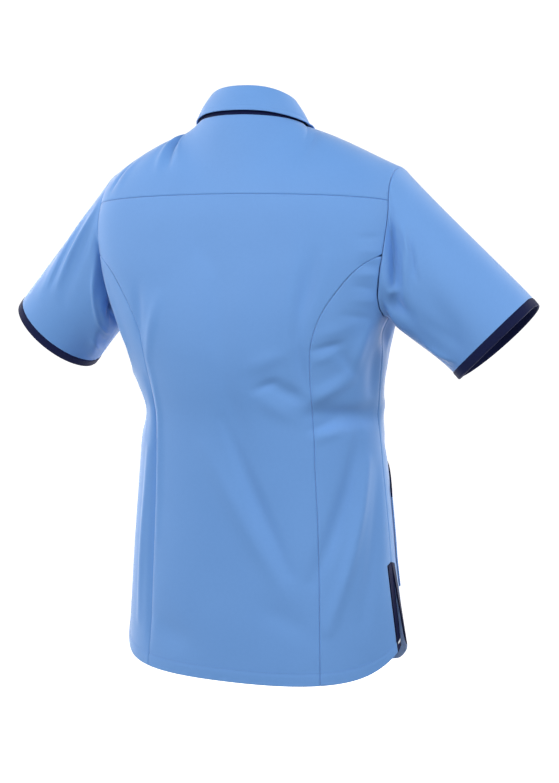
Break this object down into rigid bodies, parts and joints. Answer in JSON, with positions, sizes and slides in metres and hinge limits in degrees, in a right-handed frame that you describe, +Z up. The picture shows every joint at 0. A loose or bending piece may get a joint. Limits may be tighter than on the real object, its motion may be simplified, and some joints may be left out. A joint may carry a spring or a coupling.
{
  "type": "work tunic",
  "caption": "Fitted short-sleeved work tunic with turn-down collar, back yoke, princess seams, buttoned front, hip pockets, and dark bindings on sleeve ends, pocket mouths and side vents.",
  "frame": {"origin": "middle of the neck base, level with the inner ends of the shoulder seams, on the tunic's centre plane", "axes": "+Z up along the wearer's trunk, -Y toward the front of the wearer, +X toward the wearer's left"},
  "size_m": [0.7101, 0.2358, 0.723],
  "materials": {
    "blue_twill": "mid blue poly-cotton twill with a slight sheen",
    "navy_twill": "dark navy poly-cotton twill",
    "button_plastic": "blue moulded plastic, satin"
  },
  "bodies": {
    "root": {"back_yoke": "blue_twill", "back_centre": "blue_twill", "side_back_left": "blue_twill", "side_back_right": "blue_twill", "front_left": "blue_twill", "front_right": "blue_twill", "sleeve_left": "blue_twill", "sleeve_right": "blue_twill", "cuff_binding_left": "navy_twill", "cuff_binding_right": "navy_twill", "collar_stand": "navy_twill", "collar_fall": "blue_twill", "pocket_left": "blue_twill", "pocket_right": "blue_twill", "pocket_trim_left": "navy_twill", "pocket_trim_right": "navy_twill", "vent_back_left": "navy_twill", "vent_back_right": "navy_twill", "vent_front_left": "navy_twill", "vent_front_right": "navy_twill", "button_1": "button_plastic", "button_2": "button_plastic", "button_3": "button_plastic", "button_4": "button_plastic", "button_5": "button_plastic", "button_6": "button_plastic"}
  },
  "joints": []
}
